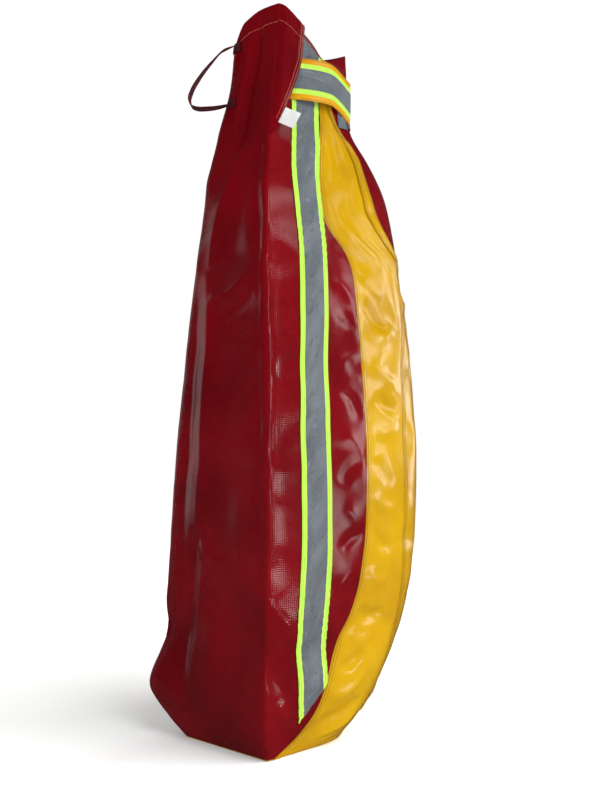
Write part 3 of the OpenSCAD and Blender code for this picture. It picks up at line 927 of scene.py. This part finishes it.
def rim_hem():
    """The binding inside the rim, under the wall."""
    grid = dense("rim_hem", 21, 5, 6)
    places, inward = on_skin(grid, -CLOTH - 0.3 * MM)
    normals = -grid_normals(places)
    normals *= -np.sign((normals * inward).sum(-1, keepdims=True))
    piece = sheet_piece("rim_hem_cloth", places[:, ::-1], normals[:, ::-1], 1.2 * MM, RED, "bag")
    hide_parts("rim_hem")
    declare(grid)


rim_hem()
for node, look in (("neck_loop_patch", HOOK_LOOP), ("neck_reflector", SILVER)):
    sewn_sheet(node, dense(node, 4, 16, 6), 2.0 * MM, 1.2 * MM, look)


# ---- Collar lobe ----

HEM_DEPTH = 27 * MM
HEM_THREAD = 3.6 * MM  # its pitch


def collar():
    """The lobe at the neck: held to the near corner along one side, with a double hem on the other."""
    grid = dense("collar_lobe", 5, 6, 6)
    u = steps_along(grid, 1)
    hold = np.clip(1 - u / (12 * MM), 0, 1) ** 2
    held_side = grid[:, 0]
    corner = np.array([spot("near_side_panel", 0, p[2], skin) for p in held_side])
    corner_tips = np.array([spot("near_side_panel", 0, p[2], skin + skin_normals) for p in held_side])
    corner_normals = unit(corner_tips - corner)
    outer = grid + (corner - held_side)[:, None] * hold[..., None]
    z = grid[..., 2]
    share = u / u[:, -1:]
    bulge = 2.5 * MM * np.sin(np.pi * np.clip(share, 0, 1)) * np.clip((z - 0.95) / 0.05, 0, 1)
    bulge += 0.8 * MM * cloth_noise(u, z, 9.5, (0.03, 0.07)) * (1 - hold)
    hem = np.clip((share - 0.70) / 0.03, 0, 1) * np.clip((z - 0.955) / 0.02, 0, 1)
    outer = outer + grid_normals(outer) * (bulge + 0.8 * MM * hem)[..., None]
    normals = grid_normals(outer)
    normals = unit(normals * (1 - hold[..., None]) + corner_normals[:, None] * hold[..., None])
    flat = strip_flat(outer)
    flat[..., 2] = np.where(z > 0.95, u[:, -1:] - u, INSIDE)
    piece = sheet_piece("collar_lobe_cloth", outer, normals, CLOTH, RED, "bag", flat)
    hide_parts("collar_lobe", "lobe_hem")
    declare(grid)
    start = int(0.14 * len(outer))
    lines = [(a[start:], b[start:]) for a, b in edge_lines(outer, normals, (-3 * MM, -7.5 * MM))]
    stitches("lobe_hem_stitches", lines, THREAD_ORANGE, pitch=HEM_THREAD, radius=0.5 * MM)
    return outer, normals


def row_below(grid, column):
    """The row of a grid that is a hem's depth below its upper edge, measured on one column."""
    step = float(steps_along(grid, 0)[-1, column] / len(grid))
    return len(grid) - 1 - int(round(HEM_DEPTH / step))


def rim_stitches():
    """The hem's row of stitches, round the back and on across the lobe."""
    lobe, lobe_normals = collar()
    lines = []
    for grid, normals, column, columns in (
            (skin, skin_normals, BACK_END % around, ring_columns(BACK_START, BACK_END)),
            (lobe, lobe_normals, 0, slice(None))):
        row = row_below(grid, column)
        ups = normals[row, columns]
        lines.append((grid[row, columns] + ups * 0.3 * MM, ups))
    stitches("rim_stitches", lines, THREAD_ORANGE, pitch=HEM_THREAD)


rim_stitches()


# ---- Closure strap ----

JOINTS = {joint["name"]: Vector(joint["pos_m"]) for joint in frame["joints"]}
TUCK_COLUMNS = 13  # columns of the strap that are added under the lobe
CLEAR = TUCK_COLUMNS + 2  # the first column whose stitches show


def strap_band(node, down, along, thick, look, tucked=0.0):
    """One layer of the closure strap. A tucked one reaches on under the lobe and rides no body; the
    others ride the strap.
    """
    grid = dense(node, 13, down, along)
    u, v = steps_along(grid, 1), steps_along(grid, 0)
    lift = 0.5 * MM * cloth_noise(u, v, 5.5, (0.04, 0.03))
    outer = grid + grid_normals(grid) * lift[..., None]
    if tucked:
        tuck = np.linspace(1, 0, TUCK_COLUMNS + 1)[:-1]
        start, ahead = outer[:, :1], unit(outer[:, 1:2] - outer[:, :1])
        extra = start - ahead * (tuck * tucked)[None, :, None]
        extra = extra + np.array([0, 1, 0]) * (tuck ** 1.6 * 6 * MM)[None, :, None]
        outer = np.concatenate([extra, outer], 1)
    normals = grid_normals(outer)
    piece = sheet_piece(f"{node}_cloth", outer, normals, thick, look, None if tucked else "strap",
                        round_edge=0.45)
    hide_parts(node)
    declare(outer)
    if tucked:
        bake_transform(piece)
    return outer[:, CLEAR:], normals[:, CLEAR:]


def length_lines(grid, normals, insets):
    """Lines along the length of a strap, whose rows run along it."""
    return edge_lines(np.swapaxes(grid, 0, 1), np.swapaxes(normals, 0, 1), insets)


strap = strap_band("closure_strap", 18, 8, 1.9 * MM, STRAP_YELLOW, tucked=24 * MM)
lime = strap_band("strap_tape", 12, 8, TAPE, LIME, tucked=20 * MM)
strap_band("strap_tape_silver", 10, 8, TAPE, SILVER, tucked=20 * MM)
strap_band("strap_hook_patch", 16, 3, 1.6 * MM, HOOK_LOOP)
stitches("strap_tape_stitches", length_lines(*lime, FOUR_ROWS), THREAD_LIME, body="strap",
         **TAPE_THREAD)
stitches("strap_edge_stitches", length_lines(*strap, (2.5 * MM, -2.5 * MM)), THREAD_YELLOW,
         body="strap")


def strap_anchor():
    """The strap's sewn-down end, with a crossed box of stitches."""
    outer, normals = sewn_sheet("strap_anchor", dense("strap_anchor", 3, 30, 12), 2.2 * MM,
                                1.6 * MM, STRAP_YELLOW)
    m, n = outer.shape[0] - 1, outer.shape[1] - 1
    corners = [(0.12, 0.12), (0.12, 0.88), (0.88, 0.88), (0.88, 0.12), (0.12, 0.12), (0.88, 0.88)]
    path = []
    for (a, b), (c, d) in zip(corners[:-1], corners[1:]):
        path += [(a + (c - a) * s, b + (d - b) * s) for s in np.linspace(0, 1, 12, endpoint=False)]
    row, column = np.array([(round(a * m), round(b * n)) for a, b in path]).T
    ups = normals[row, column]
    stitches("strap_anchor_stitches", [(outer[row, column] + ups * STITCH_LIFT, ups)], THREAD_YELLOW)


strap_anchor()


# ---- Hanging loop ----

def loop_rings():
    """The loop's centre line and its width's direction, from the rings of its CAD tube."""
    points, triangles = cad_mesh("hanging_loop")
    beside = {i: set() for i in range(len(points))}
    for a, b, c in triangles.tolist():
        beside[a] |= {b, c}
        beside[b] |= {a, c}
        beside[c] |= {a, b}
    middle = points[:, 2].mean()
    ring = {i for i in beside if len(beside[i]) < 6 and points[i, 2] > middle}
    seen, centres, widths = set(ring), [], []
    while ring:
        q = points[sorted(ring)]
        order = np.argsort(np.linalg.norm(q - q[0], axis=1))
        across = (q[order[2]] + q[order[3]]) / 2 - (q[order[0]] + q[order[1]]) / 2
        if widths and across @ widths[-1] < 0:
            across = -across
        centres.append(q.mean(0))
        widths.append(unit(across))
        ring = {j for i in ring for j in beside[i]} - seen
        seen |= ring
    return np.array(centres), np.array(widths)


def hanging_loop():
    """The loop of flat webbing, swept along the centre line of its CAD tube; it rides no body."""
    centres, widths = loop_rings()
    centres, widths = finer(centres[:, None], 4)[:, 0], unit(finer(widths[:, None], 4)[:, 0])
    ahead = unit(np.gradient(centres, axis=0))
    up = unit(np.cross(ahead, widths))
    half_w, half_t = 9.6 * MM, 0.95 * MM
    half = [(-1.0, 0.35), (-0.93, 0.95), (-0.5, 1.0), (0.0, 0.96), (0.5, 1.0), (0.93, 0.95), (1.0, 0.35)]
    section = half + [(x, -y) for x, y in half[::-1]]
    rings = np.stack([centres + widths * half_w * x + up * half_t * y for x, y in section], 1)
    piece = loft("hanging_loop_webbing", rings[:, ::-1], WEBBING, None)
    along = length_along(centres)
    across = np.array([x * half_w for x, _ in section[::-1]])
    edge = np.array([(1 - abs(x)) * half_w for x, _ in section[::-1]])
    set_flat(piece, np.stack(np.broadcast_arrays(across, along[:, None], edge), -1))
    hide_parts("hanging_loop")
    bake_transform(piece)


hanging_loop()


def loop_ends():
    """The two ends of the webbing, folded flat on the back and bar-tacked."""
    points, _ = cad_mesh("loop_anchors")
    between = JOINTS["loop_swing"].z
    lines = []
    for name, group in (("loop_end_low", points[points[:, 2] < between]),
                        ("loop_end_high", points[points[:, 2] > between])):
        low, high = group.min(0), group.max(0)
        y, z = np.linspace(high[1], low[1], 19), np.linspace(low[2], high[2], 15)
        x = np.interp(y, [low[1], high[1]], [high[0], low[0]])
        grid = np.stack(np.broadcast_arrays(x, y, z[:, None]), -1)
        outer, normals = on_skin(grid, 1.9 * MM)
        piece = sheet_piece(name, outer, normals, 1.7 * MM, WEBBING, "bag")
        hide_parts("loop_anchors")
        declare(grid)
        for row in (3, 7, 11):
            ups = normals[row, 2:-2]
            lines.append((outer[row, 2:-2] + ups * 0.2 * MM, ups))
    webbing_thread = THREAD_RED[0], "webbing_red"
    stitches("loop_end_stitches", lines, webbing_thread, pitch=2.4 * MM, share=0.85)


loop_ends()


# ---- Label and snap ----

def blank_label():
    """A small woven label with folded ends, sewn into the hem by one side and curled a little."""
    grid = dense("label", 2, 18, 18)
    u, v = steps_along(grid, 1), steps_along(grid, 0)
    s, t = u / u[:, -1:], v / v[-1:]
    curl = 2.2 * MM * np.sin(np.pi * t) * s + 1.5 * MM * s ** 2 - 0.6 * MM * np.sin(TAU * s) * t
    outer = grid + grid_normals(grid) * curl[..., None]
    normals = grid_normals(outer)
    piece = sheet_piece("label_cloth", outer, normals, TAPE, LABEL, "tag")
    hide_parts("label")
    declare(grid)
    lines = [(outer[2:-2, 2] + normals[2:-2, 2] * 0.2 * MM, normals[2:-2, 2])]
    stitches("label_stitches", lines, THREAD_WHITE, body="tag", pitch=2.4 * MM, radius=0.22 * MM)


blank_label()


def snap():
    """A snap stud: a domed flange, a waist and a rolled head, turned on its axis."""
    points, _ = cad_mesh("snap_stud")
    middle = (points.min(0) + points.max(0)) / 2
    (place,), (out,) = on_skin(middle[None], 0.8 * MM)
    beside = unit(np.cross(out, [0, 0, 1.0]))
    up = np.cross(beside, out)
    radius = 4.0 * MM
    # Its outline: a distance from the axis and a height, as shares of the radius
    profile = [(1.0, 0.0), (1.02, 0.12), (0.96, 0.26), (0.80, 0.34), (0.58, 0.38), (0.50, 0.44),
               (0.47, 0.58), (0.54, 0.72), (0.58, 0.84), (0.52, 0.96), (0.38, 1.02), (0.30, 0.96),
               (0.12, 0.90), (0.02, 0.89)]
    sides = 40
    angles = np.arange(sides) * TAU / sides
    rings = [[place + (beside * math.cos(a) + up * math.sin(a)) * r * radius + out * h * radius
              for a in angles] for r, h in profile]
    piece = loft("snap", np.array(rings), METAL, "bag")
    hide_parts("snap_stud")


snap()


# ---- Stage, light and camera ----

WHITE = (1, 1, 1, 1)
MIDDLE = Vector((0, 0, 0.6))  # what the lamps are aimed at
STRIP_DISTANCE = 2.6


def stage():
    size = 6.0
    mesh = bpy.data.meshes.new("floor")
    mesh.from_pydata([(-size, -size, 0), (size, -size, 0), (size, size, 0), (-size, size, 0)], [],
                     [(0, 1, 2, 3)])
    mesh.materials.append(plain_floor())
    ground = add_object("floor", mesh)
    ground.visible_glossy = False


def lamp(kind, name, direction, gloss, **settings):
    """A lamp that shines in a direction. One without gloss isn't mirrored in the cloth."""
    data = bpy.data.lights.new(name, kind)
    for key, value in settings.items():
        setattr(data, key, value)
    light = add_object(name, data)
    light.rotation_euler = Vector(direction).to_track_quat("-Z", "Y").to_euler()
    light.visible_glossy = gloss
    return light


def window(name, place, size, power, gloss=True):
    """A rectangular lamp, aimed at the bag. Sizes in metres, power in watts."""
    light = lamp("AREA", name, MIDDLE - Vector(place), gloss, shape="RECTANGLE", size=size[0],
                 size_y=size[1], energy=power)
    light.location = place


def world_light():
    """A plain world: bright to the camera, dim in diffuse light, and dark in the cloth's gloss."""
    world = bpy.data.worlds.new("studio")
    world.use_nodes = True
    nodes, links = world.node_tree.nodes, world.node_tree.links
    ray = nodes.new("ShaderNodeLightPath")
    shown = nodes["Background"].outputs[0]
    nodes["Background"].inputs["Color"].default_value = WHITE
    nodes["Background"].inputs["Strength"].default_value = 0.22
    for kind, strength in (("Is Glossy Ray", 0.03), ("Is Camera Ray", 1.0)):
        plain, both = nodes.new("ShaderNodeBackground"), nodes.new("ShaderNodeMixShader")
        plain.inputs["Color"].default_value = WHITE
        plain.inputs["Strength"].default_value = strength
        links.new(ray.outputs[kind], both.inputs[0])
        links.new(shown, both.inputs[1])
        links.new(plain.outputs[0], both.inputs[2])
        shown = both.outputs[0]
    links.new(shown, nodes["World Output"].inputs["Surface"])
    bpy.context.scene.world = world


def lights():
    """Broad light with no gloss, and lamps placed round the bag that its gloss mirrors."""
    lamp("SUN", "sky", (-0.25, 0.75, -0.85), False, energy=3.0, angle=math.radians(60))
    window("left_fill", (-2.6, -0.6, 1.2), (1.6, 1.6), 16, gloss=False)
    window("right_fill", (2.6, 0.8, 1.2), (1.6, 1.6), 30, gloss=False)
    for name, azimuth, height, size, power in (
            ("rear_window", 108, 0.9, (1.00, 1.7), 2.2), ("near_strip", -92, 0.9, (0.16, 1.3), 4.0),
            ("near_window", -50, 1.0, (0.22, 1.2), 7.0), ("front_strip", -28, 1.2, (0.14, 0.9), 4.5),
            ("front_window", -6, 0.8, (0.18, 1.1), 4.5), ("low_window", -70, 0.20, (0.5, 0.3), 2.5),
            ("high_window", -66, 2.1, (0.5, 0.4), 2.0)):
        turn = math.radians(azimuth)
        place = (STRIP_DISTANCE * math.cos(turn), STRIP_DISTANCE * math.sin(turn), height)
        window(name, place, size, power)
    bpy.context.scene.view_settings.view_transform = "Standard"


def camera():
    """The view from low on the near rear corner, turned up a little."""
    data = bpy.data.cameras.new("camera")
    data.sensor_fit = "VERTICAL"
    data.sensor_height = 36
    data.lens = 42.3
    eye = add_object("camera", data)
    eye.location = (-0.992, -1.168, 0.453)
    heading, pitch = math.atan2(0.743, 0.669), math.radians(3.0)
    ahead = Vector((math.cos(heading) * math.cos(pitch), math.sin(heading) * math.cos(pitch),
                    math.sin(pitch)))
    eye.rotation_euler = ahead.to_track_quat("-Z", "Y").to_euler()
    bpy.context.scene.camera = eye


stage()
world_light()
lights()
camera()
